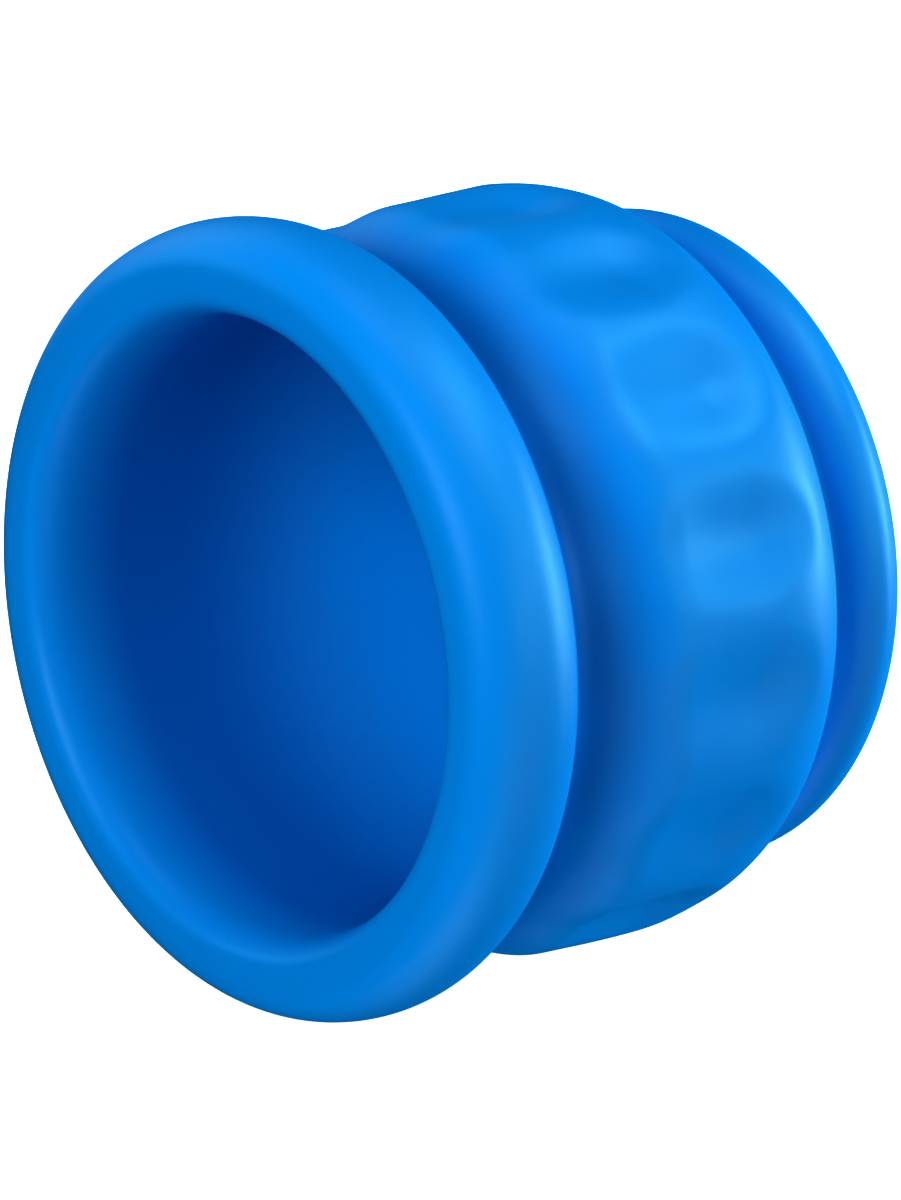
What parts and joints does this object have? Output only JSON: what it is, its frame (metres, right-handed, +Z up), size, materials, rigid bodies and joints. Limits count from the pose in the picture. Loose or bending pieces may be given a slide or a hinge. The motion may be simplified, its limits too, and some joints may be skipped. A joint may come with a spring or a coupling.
{
  "type": "pipette filler bulb",
  "caption": "Open-mouthed silicone squeeze bulb with a finger-dimple belt; a clear end disc carries a screw-down pipette head with a liquid stop.",
  "frame": {"origin": "centre of the mouth of the pipette socket, at the rear end of the nose", "axes": "the bulb's axis lies along Y, the open mouth faces -Y and the pipette leaves towards +Y; +Z is up, with one finger dimple on top"},
  "size_m": [0.056, 0.0521, 0.056],
  "materials": {
    "blue_silicone": "soft satin moulded silicone",
    "adapter_silicone": "matt moulded silicone",
    "clear_pc": "clear moulded polycarbonate",
    "white_pp": "smooth natural white polypropylene",
    "blue_pp": "fine-textured blue polypropylene",
    "seal_rubber": "black seal rubber",
    "filter_ptfe": "matt PTFE membrane"
  },
  "bodies": {
    "bulb": {"squeeze_bulb": "blue_silicone", "end_disc": "clear_pc", "disc_gasket": "seal_rubber", "valve_body": "white_pp", "lock_nut": "blue_pp", "ball_cage": "white_pp", "ball_seat": "seal_rubber", "filter_disc": "filter_ptfe", "filter_cap": "white_pp"},
    "adapter": {"pipette_adapter": "adapter_silicone"},
    "nose": {"nose_cone": "blue_pp", "nose_oring": "seal_rubber"},
    "float": {"float_ball": "white_pp"}
  },
  "joints": [
    {"name": "nose_travel", "type": "slide", "parent": "bulb", "child": "adapter", "axis": [0, 1, 0], "range_m": [0, 0.005]},
    {"name": "nose_turn", "type": "hinge", "parent": "adapter", "child": "nose", "pos_m": [0, -0.005, 0], "axis": [0, 1, 0], "range_deg": [0, 720]},
    {"name": "float_travel", "type": "slide", "parent": "bulb", "child": "float", "axis": [0, -1, 0], "range_m": [0, 0.002]}
  ],
  "couplings": [
    {"joint": "nose_turn", "follows": "nose_travel", "rad_per_m": 2513}
  ]
}
